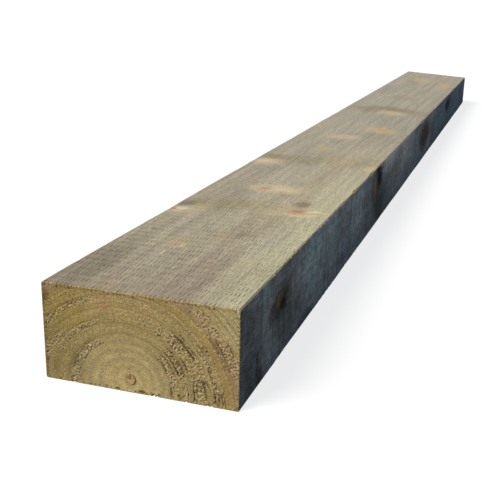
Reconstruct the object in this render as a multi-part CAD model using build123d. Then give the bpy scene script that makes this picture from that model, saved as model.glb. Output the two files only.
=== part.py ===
"""A railway sleeper: one beam of sawn softwood, 2400 x 200 x 100 mm.

The sleeper lies on its wide face. +Y runs along its length, +X across its width and +Z up,
with the origin in the middle of the underside. The end at -Y is the near end, which shows
the heart of the log best. All lengths are in millimetres.

The near end is square. Towards the far end the saw cut falls away to the right, so that the
far right corner of the top lies lower than the other three. The long edges are rubbed off a
little in slow waves, and splinters have torn out of one along the grain. All four long faces
are incised: rows of short slits, staggered like bricks, let the preservative in. The cross-cut
at each end passes through a row of them, so its edges are notched all round. The pith shows in
each end, with the soft ring round it opened on one side and short cracks that start from it.
"""

import os
from dataclasses import dataclass
from math import cos, pi, radians, sin, sqrt

from build123d import *

# Sawn size
LENGTH = 2400.0
WIDTH = 200.0
HEIGHT = 100.0

# Fall of the top: where it starts on the right edge, from the near end, and how low the far
# right corner lies. The crease between the level part and the sloping part runs from there to
# the far left corner.
FALL_FROM = 200.0
FALL = 12.0

# Rubbed long edges: the depth along the corner's diagonal, and two waves in that depth
EDGE_WEAR = 0.8
EDGE_WAVE = 0.3
EDGE_WAVE_LENGTH = 310.0
EDGE_RIPPLE = 0.15
EDGE_RIPPLE_LENGTH = 97.0
EDGE_POINT_STEP = 32.0
WAVE_STAGGER = 0.35

# Lightly broken edges round the two cross-cut ends
END_WEAR = 0.5
END_WAVE = 0.2
END_WAVE_LENGTH = 47.0
END_POINT_STEP = 12.0

# Incised slits where the cross-cut passes through them, and the bare margin by each long edge
SLIT_PITCH = 4.17
SLIT_LENGTH = 10.0
SLIT_WIDTH = 1.1
SLIT_DEPTH = 4.0
SLIT_FROM_END = 2.0
SLIT_MARGIN = 3.5

# Pith, and how it wanders across the section from the near end to the far end
PITH_FROM_LEFT = 92.0
PITH_FROM_UNDERSIDE = 12.7
PITH_DRIFT_ACROSS = -6.0
PITH_DRIFT_UP = 4.0

# Opened soft ring beside the pith
RING_RADIUS = 5.5
RING_GAP = 1.4
RING_DEPTH = 7.0

# Cracks that start at the pith and close inside the end
CRACK_MOUTH = 1.0
CRACK_DEPTH = 26.0
CRACK_BEARINGS = (98.0, 127.0, 154.0, 38.0)
CRACK_LENGTHS = (18.0, 14.0, 11.0, 9.0)

# How far a cutting shape stands clear of the face that it starts from
CLEAR = 2.0


@dataclass
class Corner:
    """An edge of the beam, between face A and face B, given by their outward normals."""

    start: Vector
    along: Vector
    face_a: Vector
    face_b: Vector
    length: float
    fall: float = 0.0

    def fall_at(self, at):
        """How far the edge has fallen with the top, at a distance along it."""
        return self.fall * max(0.0, at - FALL_FROM) / (LENGTH - FALL_FROM)

    def point(self, at):
        """The place on the edge at a distance along it."""
        return self.start + self.along * at - UP * self.fall_at(at)


@dataclass
class Chip:
    """A piece torn out of a corner: its deepest place, its taper each way and its two reaches."""

    at: float
    before: float
    after: float
    reach_a: float
    reach_b: float


# Splinters torn from the upper right edge, measured from the near end: A is the top, B the side
TORN_SPLINTERS = (
    Chip(at=19.0, before=5.0, after=26.0, reach_a=1.6, reach_b=2.4),
    Chip(at=102.0, before=26.0, after=5.0, reach_a=2.4, reach_b=2.0),
    Chip(at=290.0, before=7.0, after=18.0, reach_a=3.2, reach_b=2.2),
    Chip(at=482.0, before=5.0, after=75.0, reach_a=2.8, reach_b=3.2),
    Chip(at=622.0, before=30.0, after=26.0, reach_a=3.2, reach_b=4.6),
    Chip(at=1240.0, before=60.0, after=44.0, reach_a=3.8, reach_b=4.4),
    Chip(at=1975.0, before=90.0, after=12.0, reach_a=4.4, reach_b=5.0),
)

# Crumbs broken from the near end's lower edge, from its left: A is the underside, B the end
BROKEN_CRUMBS = (
    Chip(at=31.0, before=5.0, after=4.0, reach_a=1.6, reach_b=1.5),
    Chip(at=115.0, before=7.0, after=9.0, reach_a=2.8, reach_b=2.6),
    Chip(at=147.0, before=4.0, after=6.0, reach_a=2.0, reach_b=2.1),
    Chip(at=171.0, before=6.0, after=5.0, reach_a=2.4, reach_b=1.8),
)

RIGHT = Vector(1, 0, 0)
FAR = Vector(0, 1, 0)
UP = Vector(0, 0, 1)


def place(side, end, level):
    """The beam's corner point on the given side, end and level, each -1 or 1."""
    fall = FALL if (side, end, level) == (1, 1, 1) else 0.0
    return Vector(side * WIDTH / 2, end * LENGTH / 2, HEIGHT * (level + 1) / 2 - fall)


def long_corner(side, level):
    """A long edge, from the near end to the far end. Face A is the top or the underside."""
    start, finish = place(side, -1, level), place(side, 1, level)
    return Corner(start, FAR, UP * level, RIGHT * side, LENGTH, fall=start.Z - finish.Z)


def cross_corner(end, level):
    """An end's upper or lower edge, from left to right. Face A is the top or the underside."""
    start, finish = place(-1, end, level), place(1, end, level)
    along = (finish - start).normalized()
    return Corner(start, along, along.cross(FAR) * level, FAR * end, (finish - start).length)


def upright_corner(side, end):
    """An end's left or right edge, from the underside up. Face A is the side of the beam."""
    start, finish = place(side, end, -1), place(side, end, 1)
    return Corner(start, UP, RIGHT * side, FAR * end, (finish - start).length)


def wear_cutter(corner, depth_at, deepest, step):
    """What rubbing takes off a corner: a bevel whose depth follows depth_at along it."""
    outward = (corner.face_a + corner.face_b).normalized()
    across = corner.along.cross(outward)
    plane = Plane(origin=corner.start, x_dir=corner.along, z_dir=across)
    spans = round((corner.length + 2 * CLEAR) / step)
    reach = deepest + CLEAR
    stations = [-CLEAR + i * (corner.length + 2 * CLEAR) / spans for i in range(spans + 1)]
    worn = Polyline(*[(t, -depth_at(t)) for t in stations])
    outside = Polyline(
        worn @ 1,
        (corner.length + CLEAR, reach),
        (-CLEAR, reach),
        worn @ 0,
    )
    return extrude(plane * make_face(worn + outside), amount=2 * reach, both=True)


def long_edge_cutter(number, corner):
    """The rubbed bevel of a long edge. Its waves start at a different place on each edge."""

    def depth_at(t):
        stagger = number * WAVE_STAGGER
        wave = EDGE_WAVE * sin(2 * pi * (t / EDGE_WAVE_LENGTH + stagger))
        ripple = EDGE_RIPPLE * sin(2 * pi * (t / EDGE_RIPPLE_LENGTH + stagger))
        return EDGE_WEAR + wave + ripple + corner.fall_at(t) / sqrt(2)

    deepest = EDGE_WEAR + EDGE_WAVE + EDGE_RIPPLE + corner.fall
    return wear_cutter(corner, depth_at, deepest, EDGE_POINT_STEP)


def end_edge_cutter(number, corner):
    """The broken bevel of an edge round an end."""

    def depth_at(t):
        return END_WEAR + END_WAVE * sin(2 * pi * (t / END_WAVE_LENGTH + number * WAVE_STAGGER))

    return wear_cutter(corner, depth_at, END_WEAR + END_WAVE, END_POINT_STEP)


def chip_cutter(corner, chip):
    """What a torn chip leaves: a notch that tapers to nothing both ways along the corner."""
    heart = corner.point(chip.at)
    on_a = heart - corner.face_b * chip.reach_a
    on_b = heart - corner.face_a * chip.reach_b
    mouth = Wire.make_polygon(
        [
            on_a,
            on_b,
            on_b + corner.face_b * CLEAR,
            heart + (corner.face_a + corner.face_b) * CLEAR,
            on_a + corner.face_a * CLEAR,
        ]
    )
    first = Vertex(*corner.point(chip.at - chip.before))
    last = Vertex(*corner.point(chip.at + chip.after))
    return Solid.make_loft([first, mouth, last], ruled=True)


def slit_cutter(corner, at):
    """One incised slit across an end's corner: a blade's cut into face A, deepest in its middle."""
    middle = corner.start + corner.along * at - corner.face_b * SLIT_FROM_END
    half_width = corner.along * SLIT_WIDTH / 2
    half_length = corner.face_b * SLIT_LENGTH / 2
    lip = middle + corner.face_a * CLEAR
    flare = (SLIT_DEPTH + CLEAR) / SLIT_DEPTH
    mouth = Wire.make_polygon(
        [
            lip + half_width * flare,
            lip + half_length * flare,
            lip - half_width * flare,
            lip - half_length * flare,
        ]
    )
    bottom = Vertex(*(middle - corner.face_a * SLIT_DEPTH))
    return Solid.make_loft([mouth, bottom], ruled=True)


def slit_row(corner):
    """The slits that one cross-cut passes through, spread evenly between the two margins."""
    room = corner.length - 2 * SLIT_MARGIN
    gaps = int(room / SLIT_PITCH)
    first = (corner.length - gaps * SLIT_PITCH) / 2
    return [slit_cutter(corner, first + i * SLIT_PITCH) for i in range(gaps + 1)]


def pith_point(end):
    """Where the pith comes out of one end."""
    drift = (end + 1) / 2
    return Vector(
        PITH_FROM_LEFT + drift * PITH_DRIFT_ACROSS - WIDTH / 2,
        end * LENGTH / 2,
        PITH_FROM_UNDERSIDE + drift * PITH_DRIFT_UP,
    )


def sawn_beam():
    """The beam as the saw leaves it, with the part of its top that falls away to the right."""
    crease = long_corner(1, 1).point(FALL_FROM)
    to_left_corner = place(-1, 1, 1) - crease
    to_right_corner = place(1, 1, 1) - crease
    sloping = Plane(origin=crease, z_dir=to_right_corner.cross(to_left_corner))
    square = Pos(0, 0, HEIGHT / 2) * Box(WIDTH, LENGTH, HEIGHT)
    return split(square, bisect_by=sloping, keep=Keep.BOTTOM)


def heart_cutters(end):
    """The opened ring and the cracks round the pith, cut into one end."""
    plane = Plane(origin=pith_point(end), x_dir=RIGHT * -end, z_dir=FAR * end)
    crescent = Circle(RING_RADIUS) - Pos(-RING_GAP, 0) * Circle(RING_RADIUS)
    ring = extrude(plane.offset(CLEAR) * crescent, amount=-(RING_DEPTH + CLEAR))
    cracks = [
        crack_cutter(plane, radians(bearing), length)
        for bearing, length in zip(CRACK_BEARINGS, CRACK_LENGTHS)
    ]
    return [ring, *cracks]


def crack_cutter(plane, bearing, length):
    """One crack: widest at the pith, narrowing outwards and closing towards the inside."""
    outwards = Vector(cos(bearing), sin(bearing), 0)
    sideways = Vector(-sin(bearing), cos(bearing), 0) * CRACK_MOUTH / 2
    lip = Vector(0, 0, CLEAR)
    corners = [lip + sideways, lip + outwards * length, lip - sideways, lip - outwards * CRACK_MOUTH]
    mouth = Wire.make_polygon([plane.from_local_coords(corner) for corner in corners])
    bottom = Vertex(*plane.from_local_coords(Vector(0, 0, -CRACK_DEPTH)))
    return Solid.make_loft([mouth, bottom], ruled=True)


def sleeper_beam():
    """The whole sleeper, as one solid."""
    beam = sawn_beam()
    long_corners = [long_corner(side, level) for side in (-1, 1) for level in (-1, 1)]
    cross_corners = [cross_corner(end, level) for end in (-1, 1) for level in (-1, 1)]
    upright_corners = [upright_corner(side, end) for side in (-1, 1) for end in (-1, 1)]
    end_corners = cross_corners + upright_corners

    for number, corner in enumerate(long_corners):
        beam -= long_edge_cutter(number, corner)
    for number, corner in enumerate(end_corners):
        beam -= end_edge_cutter(number, corner)
    beam -= [chip_cutter(long_corner(1, 1), chip) for chip in TORN_SPLINTERS]
    beam -= [chip_cutter(cross_corner(-1, -1), chip) for chip in BROKEN_CRUMBS]
    beam -= [slit for corner in end_corners for slit in slit_row(corner)]
    beam -= heart_cutters(-1)
    beam -= heart_cutters(1)
    return beam


os.makedirs("parts", exist_ok=True)
export_step(sleeper_beam(), "parts/sleeper_beam.step")
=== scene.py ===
"""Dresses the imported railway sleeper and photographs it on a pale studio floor.

The beam's skin is one closed mesh that follows the CAD solid: its four sawn faces with their
incised slits, the rubbed edges, and the two cross-cut ends with their torn rings.
Lengths in this file are millimetres until a mesh is made; MM turns them into metres.
"""

from dataclasses import dataclass
from math import cos, pi, radians, sin, sqrt

import bmesh
import bpy
import numpy as np
from mathutils import Matrix, Vector
from mathutils.geometry import delaunay_2d_cdt


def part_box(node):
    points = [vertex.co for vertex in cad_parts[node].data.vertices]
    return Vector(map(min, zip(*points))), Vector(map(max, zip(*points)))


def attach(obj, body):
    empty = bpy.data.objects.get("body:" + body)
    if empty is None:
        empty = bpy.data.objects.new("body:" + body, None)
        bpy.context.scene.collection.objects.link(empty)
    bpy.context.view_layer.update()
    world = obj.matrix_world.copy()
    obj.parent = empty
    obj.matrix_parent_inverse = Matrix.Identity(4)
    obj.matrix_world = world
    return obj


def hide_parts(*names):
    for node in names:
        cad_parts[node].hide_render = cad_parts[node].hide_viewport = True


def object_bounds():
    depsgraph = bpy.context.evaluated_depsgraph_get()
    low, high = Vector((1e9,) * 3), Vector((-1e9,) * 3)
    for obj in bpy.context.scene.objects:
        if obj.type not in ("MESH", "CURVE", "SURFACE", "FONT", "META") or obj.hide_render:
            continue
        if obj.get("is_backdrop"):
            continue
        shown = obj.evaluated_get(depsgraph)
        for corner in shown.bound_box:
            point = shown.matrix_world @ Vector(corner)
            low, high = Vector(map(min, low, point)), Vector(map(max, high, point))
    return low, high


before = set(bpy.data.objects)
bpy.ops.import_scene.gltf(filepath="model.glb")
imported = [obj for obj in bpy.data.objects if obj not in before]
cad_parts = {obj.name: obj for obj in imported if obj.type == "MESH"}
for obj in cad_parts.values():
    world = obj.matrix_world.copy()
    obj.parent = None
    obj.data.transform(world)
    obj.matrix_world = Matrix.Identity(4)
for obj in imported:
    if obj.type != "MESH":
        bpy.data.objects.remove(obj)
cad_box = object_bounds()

MM = 0.001
NODE = "sleeper_beam"
BODY = "root"

LOW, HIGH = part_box(NODE)
WIDTH, LENGTH, HEIGHT = (round((high - low) / MM, 2) for low, high in zip(LOW, HIGH))

# Fall of the top towards the far right corner, as in the CAD source
FALL_FROM = 200.0
FALL = 12.0

# Rubbed long edges, as in the CAD source
EDGE_WEAR = 0.8
EDGE_WAVE = 0.3
EDGE_WAVE_LENGTH = 310.0
EDGE_RIPPLE = 0.15
EDGE_RIPPLE_LENGTH = 97.0
WAVE_STAGGER = 0.35

# Broken edges round the ends, and the least bevel that leaves room for them at the corners
END_LEG = 0.7
END_ROUGHNESS = 0.5
LEAST_LEG = 1.0

# Rows of points along an edge: the least gap, and how much wider the gaps grow to the far end
LEAST_ROW_GAP = 0.7
ROW_GAP_GROWTH = 3.0

# Small crumbs missing from the edges
CRUMB_FROM_END = 8.0
CRUMB_TAPERS = (1.5, 9.0)
CRUMB_LEAST_REACH = 1.2

# Incised slits
SLIT_PITCH = 4.17
SLIT_LENGTH = 13.0
SLIT_WIDTH = 0.95
SLIT_DEPTH = 4.0
SLIT_FROM_END = 2.0
SLIT_MARGIN = 3.5
SLIT_ROW_GAPS = 156
SLIT_ROW_GAP = (LENGTH - 2 * SLIT_FROM_END) / SLIT_ROW_GAPS
SLIT_ALONG_PLAY = 1.1
SLIT_ACROSS_PLAY = 0.28
SLIT_CLEARANCE = 0.5

# The shares of its full length, width and depth that a slit may have
SLIT_LENGTHS = (0.8, 1.02)
SLIT_WIDTHS = (0.45, 1.15)
SLIT_DEPTHS = (0.5, 1.0)

# How far open the slits are: uneven, widest near the camera, and less by the top's right edge
LEAST_OPENING = 0.35
OPENING_SPREAD = 0.8
OPENING_LUMP = 9.0
OPENING_LUMP_STRETCH = 14.0
NEAR_OPENING = 1.25
FAR_CLOSING = 0.5
CLOSING_ALONG = (120.0, 420.0)
EDGE_CLOSING = 0.4
EDGE_CLOSING_ACROSS = (135.0, 165.0)
EDGE_CLOSING_ALONG = (30.0, 90.0)

# Slits that the cross-cuts pass through, and where the broken edge has points between them
NICK_LEAST_OPENING = 0.3
NICK_OPENING_SPREAD = 0.8
NICK_ACROSS_PLAY = 0.2
NICK_LEAST_DEPTH = 0.3
BETWEEN_NICKS = (0.35, 0.65)

# Pith, and how it wanders from the near end to the far end
PITH = (92.0, 12.7)
PITH_DRIFT = (-6.0, 4.0)

# The heart of each end
RING_RADIUS = 5.5
RING_GAP = 1.4
RING_DEPTH = 1.0
CRACK_MOUTH = 0.8
CRACK_DEPTH = 1.0
CRACK_BEARINGS = (98.0, 127.0, 154.0, 38.0)
CRACK_LENGTHS = (18.0, 14.0, 11.0, 9.0)
RING_SOFTNESS = 0.3
CORE_SOFTNESS = 0.4

# Points over an end: how far apart they are, and how far they stay from its rim
NEAR_END_STEP = 0.86
FAR_END_STEP = 1.7
END_STEP_PLAY = 0.3
END_INSET = 2.8
HEART_REACH = 10.0
HEART_STEP = 0.55
LEAST_TORN = 0.1

# Random draws: the seed, and what is added to it for each kind of draw
SEED = 17
FAR_RIM_DRAWS = 10
FAR_END_DRAWS = 40
OPENING_DRAWS = 60
SLIT_DRAWS = 100
END_DRAWS = 200
NOISE_CELLS = 256

TOP, RIGHT, UNDER, LEFT, END = range(5)


@dataclass
class Side:
    """A long face: its corner at the near end, the way across it, and the way out of it."""

    corner: Vector
    across: Vector
    outward: Vector
    width: float
    paint: int
    incised: bool
    fall: float = 0.0

    def fall_at(self, u, s):
        """How far the face has fallen below its near end, u across it and s along it."""
        past = (s - FALL_FROM) / (LENGTH - FALL_FROM) + u / self.width - 1
        return self.fall * max(0.0, past)

    def at(self, u, s, depth=0.0):
        """The place that lies u across the face, s along it and depth inside it."""
        inside = depth + self.fall_at(u, s)
        return self.corner + self.across * u + ALONG * s - self.outward * inside

    def flat(self, place):
        """Where a place lies on the face, across and along."""
        offset = place - self.corner
        return Vector((offset.dot(self.across), offset.dot(ALONG)))


@dataclass
class Chip:
    """A piece torn out of an edge: its deepest place, its tapers and its two reaches."""

    at: float
    before: float
    after: float
    reach_a: float
    reach_b: float


@dataclass
class Edge:
    """A long edge between two sides. Its number sets off its waves from the other edges'."""

    first: Side
    second: Side
    number: int
    paint: int
    sectors: int
    fine_step: float
    chips: list

    def fall_at(self, s):
        """How far the edge has fallen with the first of its faces."""
        return self.first.fall_at(self.first.width, s)


ALONG = Vector((0, 1, 0))
X, Z = Vector((1, 0, 0)), Vector((0, 0, 1))
NEAR_Y = -LENGTH / 2

SIDES = (
    Side(Vector((-WIDTH / 2, NEAR_Y, HEIGHT)), X, Z, WIDTH, TOP, True, FALL),
    Side(Vector((WIDTH / 2, NEAR_Y, HEIGHT)), -Z, X, HEIGHT, RIGHT, True),
    Side(Vector((WIDTH / 2, NEAR_Y, 0)), -X, -Z, WIDTH, UNDER, False),
    Side(Vector((-WIDTH / 2, NEAR_Y, 0)), Z, -X, HEIGHT, LEFT, True),
)

# The same chips as in the CAD source: A is the top, B the right side
TORN_SPLINTERS = (
    Chip(at=19.0, before=5.0, after=26.0, reach_a=1.6, reach_b=2.4),
    Chip(at=102.0, before=26.0, after=5.0, reach_a=2.4, reach_b=2.0),
    Chip(at=290.0, before=7.0, after=18.0, reach_a=3.2, reach_b=2.2),
    Chip(at=482.0, before=5.0, after=75.0, reach_a=2.8, reach_b=3.2),
    Chip(at=622.0, before=30.0, after=26.0, reach_a=3.2, reach_b=4.6),
    Chip(at=1240.0, before=60.0, after=44.0, reach_a=3.8, reach_b=4.4),
    Chip(at=1975.0, before=90.0, after=12.0, reach_a=4.4, reach_b=5.0),
)

# The crumbs broken from the near end's lower edge: A is the underside, B the end
BROKEN_CRUMBS = (
    Chip(at=31.0, before=5.0, after=4.0, reach_a=1.6, reach_b=1.5),
    Chip(at=115.0, before=7.0, after=9.0, reach_a=2.8, reach_b=2.6),
    Chip(at=147.0, before=4.0, after=6.0, reach_a=2.0, reach_b=2.1),
    Chip(at=171.0, before=6.0, after=5.0, reach_a=2.4, reach_b=1.8),
)


def small_chips(number, count, most):
    """Crumbs missing from an edge, too small for the CAD source."""
    rng = np.random.default_rng(SEED + number)
    return [
        Chip(
            at=rng.uniform(CRUMB_FROM_END, LENGTH - CRUMB_FROM_END),
            before=rng.uniform(*CRUMB_TAPERS),
            after=rng.uniform(*CRUMB_TAPERS),
            reach_a=rng.uniform(CRUMB_LEAST_REACH, most),
            reach_b=rng.uniform(CRUMB_LEAST_REACH, most),
        )
        for _ in range(count)
    ]


def long_edge(first, second, number, crumbs, most, paint, sectors, fine_step, torn=()):
    """An edge between two sides, with some torn splinters and a number of small crumbs."""
    chips = [*torn, *small_chips(number, crumbs, most)]
    return Edge(SIDES[first], SIDES[second], number, paint, sectors, fine_step, chips)


EDGES = (
    long_edge(TOP, RIGHT, 3, 90, 2.6, paint=TOP, sectors=4, fine_step=2.5, torn=TORN_SPLINTERS),
    long_edge(RIGHT, UNDER, 2, 40, 2.2, paint=RIGHT, sectors=2, fine_step=6.0),
    long_edge(UNDER, LEFT, 0, 30, 2.2, paint=LEFT, sectors=2, fine_step=8.0),
    long_edge(LEFT, TOP, 1, 50, 2.0, paint=TOP, sectors=2, fine_step=5.0),
)


class Skin:
    """The points and faces of the beam's surface, as they are collected."""

    def __init__(self):
        self.points = []
        self.recess = []
        self.torn = []
        self.faces = []
        self.paints = []

    def point(self, place, recess=0.0, torn=0.0):
        self.points.append(place)
        self.recess.append(recess)
        self.torn.append(torn)
        return len(self.points) - 1

    def rings(self):
        """How far out in the log's rings each point lies."""
        x, y, z = np.array([tuple(place) for place in self.points]).T
        across, up = pith_at(y - NEAR_Y)
        return ring_radius(x + WIDTH / 2 - across, z - up)

    def face(self, corners, paint):
        self.faces.append(corners)
        self.paints.append(paint)

    def strip(self, row, next_row, paint):
        """Quads between two rows of points."""
        for a, b, c, d in zip(row, row[1:], next_row[1:], next_row):
            self.face((a, b, c, d), paint)

    def fill(self, flat, rim, paint, slits=(), inner=()):
        """Triangles inside a rim, round slits of four points each and through inner points."""
        ids = list(rim)
        edges = [(i, (i + 1) % len(rim)) for i in range(len(rim))]
        owner = {}
        for number, slit in enumerate(slits):
            first = len(ids)
            ids.extend(slit)
            edges.extend((first + i, first + (i + 1) % 4) for i in range(4))
            owner.update((corner, number) for corner in slit)
        ids.extend(inner)
        spots = [flat(self.points[i]) for i in ids]
        _, _, triangles, origins, _, _ = delaunay_2d_cdt(spots, edges, [], 1, 1e-5)
        for triangle in triangles:
            corners = [ids[origins[i][0]] for i in triangle]
            owners = {owner.get(corner, -1) for corner in corners}
            if len(owners) > 1 or -1 in owners:
                self.face(corners, paint)


def smoothstep(low, high, value):
    """0 below low, 1 above high and a smooth rise between them; low may be above high."""
    t = np.clip((value - low) / (high - low), 0, 1)
    return t * t * (3 - 2 * t)


def lumps(u, v, size, seed):
    """Smooth noise from 0 to 1 over arrays u and v, with lumps of about the given size."""
    table = np.random.default_rng(SEED + seed).random((NOISE_CELLS, NOISE_CELLS))
    u, v = np.asarray(u) / size, np.asarray(v) / size
    i, j = np.floor(u).astype(int), np.floor(v).astype(int)
    a, b = smoothstep(0, 1, u - i), smoothstep(0, 1, v - j)
    rows = []
    for row in (i % NOISE_CELLS, (i + 1) % NOISE_CELLS):
        low, high = table[row, j % NOISE_CELLS], table[row, (j + 1) % NOISE_CELLS]
        rows.append(low * (1 - b) + high * b)
    return rows[0] * (1 - a) + rows[1] * a


def pith_at(s):
    """The pith in the section at s: from the left side and from the underside."""
    part = s / LENGTH
    return PITH[0] + part * PITH_DRIFT[0], PITH[1] + part * PITH_DRIFT[1]


def wear_leg(edge, s):
    """How far the rubbed bevel reaches from the corner along each face."""
    stagger = edge.number * WAVE_STAGGER
    wave = EDGE_WAVE * sin(2 * pi * (s / EDGE_WAVE_LENGTH + stagger))
    ripple = EDGE_RIPPLE * sin(2 * pi * (s / EDGE_RIPPLE_LENGTH + stagger))
    return max(LEAST_LEG, (EDGE_WEAR + wave + ripple) * sqrt(2))


def taper(chip, s):
    """How much of a chip's reach there is at s."""
    run = chip.after if s > chip.at else chip.before
    return max(0.0, 1 - abs(s - chip.at) / run)


def reach(edge, s, angle):
    """The distance from the square corner to the worn surface, in a direction between its faces."""
    towards_a, towards_b = cos(angle), sin(angle)
    leg = wear_leg(edge, s)
    best = leg / (towards_a + towards_b)
    for chip in edge.chips:
        share = taper(chip, s)
        if share > 0:
            cut = share / (towards_a / chip.reach_a + towards_b / chip.reach_b)
            best = max(best, cut)
    return best


def stations(edge):
    """Where an edge has rows of points: close together near the camera and at its chips."""
    places = [END_LEG]
    while places[-1] < LENGTH - END_LEG:
        grow = 1 + ROW_GAP_GROWTH * places[-1] / LENGTH
        places.append(places[-1] + edge.fine_step * grow)
    for chip in edge.chips:
        places.extend((chip.at - chip.before, chip.at, chip.at + chip.after))
    kept = [END_LEG]
    for place in sorted(places):
        if place - kept[-1] > LEAST_ROW_GAP and place < LENGTH - END_LEG - LEAST_ROW_GAP:
            kept.append(place)
    return kept + [LENGTH - END_LEG]


def worn_section(edge, s):
    """The points across an edge at s, with the direction out of the wood at each."""
    section = []
    for i in range(edge.sectors + 1):
        angle = i / edge.sectors * pi / 2
        distance = reach(edge, s, angle)
        corner = edge.first.at(edge.first.width, s)
        inward = edge.second.across * sin(angle) - edge.first.across * cos(angle)
        outward = edge.first.outward * cos(angle) + edge.second.outward * sin(angle)
        section.append((corner + inward * distance, outward))
    return section


def add_edge(skin, edge):
    """The strip of a worn edge. Returns its rows of points."""
    rows = []
    for s in stations(edge):
        rows.append([skin.point(place) for place, _ in worn_section(edge, s)])
    for row, next_row in zip(rows, rows[1:]):
        skin.strip(row, next_row, edge.paint)
    return rows


def slit_columns(side, shifted):
    """How far across a side the slits of a row lie."""
    gaps = int((side.width - 2 * SLIT_MARGIN) / SLIT_PITCH)
    first = (side.width - gaps * SLIT_PITCH) / 2
    if shifted:
        return [first + (i + 0.5) * SLIT_PITCH for i in range(gaps)]
    return [first + i * SLIT_PITCH for i in range(gaps + 1)]


def end_nick(skin, side, u, s_of, opened):
    """A slit that the cross-cut passes through. Returns its rim on the face and its columns."""
    half = SLIT_LENGTH / 2
    width = SLIT_WIDTH * opened
    left = skin.point(side.at(u - width / 2, s_of(SLIT_FROM_END)))
    right = skin.point(side.at(u + width / 2, s_of(SLIT_FROM_END)))
    tip = skin.point(side.at(u, s_of(SLIT_FROM_END + half)))
    bottom = skin.point(side.at(u, s_of(SLIT_FROM_END), SLIT_DEPTH), recess=opened)

    columns = []
    for sign in (-1, 0, 1):
        pair = []
        for s, sunk in ((END_LEG, 0.0), (0.0, END_LEG)):
            share = 1 - (SLIT_FROM_END - s) / half
            open_width = width / 2 * (share - sunk / SLIT_DEPTH)
            depth = sunk if sign else max(SLIT_DEPTH * share * opened, sunk + NICK_LEAST_DEPTH)
            place = side.at(u + sign * open_width, s_of(s), depth)
            pair.append(skin.point(place, recess=0 if sign else opened))
        columns.append(pair)
    (lip_a, _), (floor, _), (lip_b, _) = columns
    skin.face((lip_a, left, bottom, floor), side.paint)
    skin.face((left, tip, bottom), side.paint)
    skin.face((tip, right, bottom), side.paint)
    skin.face((right, lip_b, floor, bottom), side.paint)
    return [lip_a, left, tip, right, lip_b], columns


def crumb_at(x):
    """The crumb at x from the left, as how far it reaches along the underside and up the end."""
    shares = [(taper(crumb, x), crumb) for crumb in BROKEN_CRUMBS]
    share, crumb = max(shares, key=lambda pair: pair[0])
    return share * crumb.reach_a, share * crumb.reach_b


def end_rim(skin, side, u_from, u_to, far):
    """A side's row of points at one end. Returns its rim on the face and its columns."""
    rng = np.random.default_rng(SEED + side.paint + FAR_RIM_DRAWS * far)

    def s_of(s):
        return LENGTH - s if far else s

    rim, columns = [], []
    room = SLIT_WIDTH + SLIT_CLEARANCE
    nicks = [u for u in slit_columns(side, False) if u_from + room < u < u_to - room]
    for u in nicks:
        opened = NICK_LEAST_OPENING + NICK_OPENING_SPREAD * rng.random()
        place = u + rng.normal(0, NICK_ACROSS_PLAY)
        nick_rim, nick_columns = end_nick(skin, side, place, s_of, opened)
        rim.extend(nick_rim)
        columns.extend(nick_columns)
        if u == nicks[-1]:
            break
        for part in BETWEEN_NICKS:
            between = u + part * SLIT_PITCH
            run = END_LEG
            sunk = END_LEG + rng.uniform(-1, 1) * END_ROUGHNESS
            if side.paint == UNDER and not far:
                along, up = crumb_at(WIDTH - between)
                run, sunk = run + along, sunk + up
            outer = skin.point(side.at(between, s_of(run)))
            inner = skin.point(side.at(between, s_of(0), sunk))
            rim.append(outer)
            columns.append([outer, inner])
    return rim, columns


def slit_is_clear(edges_of, side, u, s):
    """Whether a slit stays clear of both worn edges of its side."""
    before, after = edges_of
    room = SLIT_WIDTH / 2 + SLIT_CLEARANCE
    for place in (s - SLIT_LENGTH / 2, s, s + SLIT_LENGTH / 2):
        first = before.fall_at(place) + reach(before, place, pi / 2)
        last = side.width - reach(after, place, 0)
        if u - room < first or u + room > last:
            return False
    return True


def slit_opening(side, u, s):
    """How far open a slit at u across a side and s along it is, as a share of its width."""
    lump = lumps(u, s / OPENING_LUMP_STRETCH, OPENING_LUMP, OPENING_DRAWS + side.paint)
    by_edge = smoothstep(*EDGE_CLOSING_ACROSS, u) * smoothstep(*EDGE_CLOSING_ALONG, s)
    opened = LEAST_OPENING + OPENING_SPREAD * float(lump)
    opened *= NEAR_OPENING - FAR_CLOSING * float(smoothstep(*CLOSING_ALONG, s))
    return opened * (1 - EDGE_CLOSING * float(by_edge))


def add_slits(skin, side, edges_of):
    """The incised slits of a side, apart from the rows that the cross-cuts pass through."""
    rng = np.random.default_rng(SEED + SLIT_DRAWS + side.paint)
    slits = []
    for row in range(1, SLIT_ROW_GAPS):
        for column in slit_columns(side, row % 2 == 1):
            u = column + rng.normal(0, SLIT_ACROSS_PLAY)
            s = SLIT_FROM_END + row * SLIT_ROW_GAP + rng.uniform(-1, 1) * SLIT_ALONG_PLAY
            half_length = SLIT_LENGTH / 2 * rng.uniform(*SLIT_LENGTHS)
            opened = slit_opening(side, u, s)
            half_width = SLIT_WIDTH / 2 * opened * rng.uniform(*SLIT_WIDTHS)
            if not slit_is_clear(edges_of, side, u, s):
                continue
            slit = [
                skin.point(side.at(u, s - half_length)),
                skin.point(side.at(u + half_width, s)),
                skin.point(side.at(u, s + half_length)),
                skin.point(side.at(u - half_width, s)),
            ]
            deepest = side.at(u, s, SLIT_DEPTH * rng.uniform(*SLIT_DEPTHS))
            bottom = skin.point(deepest, recess=opened)
            for i in range(4):
                skin.face((slit[i], slit[(i + 1) % 4], bottom), side.paint)
            slits.append(slit)
    return slits


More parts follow.
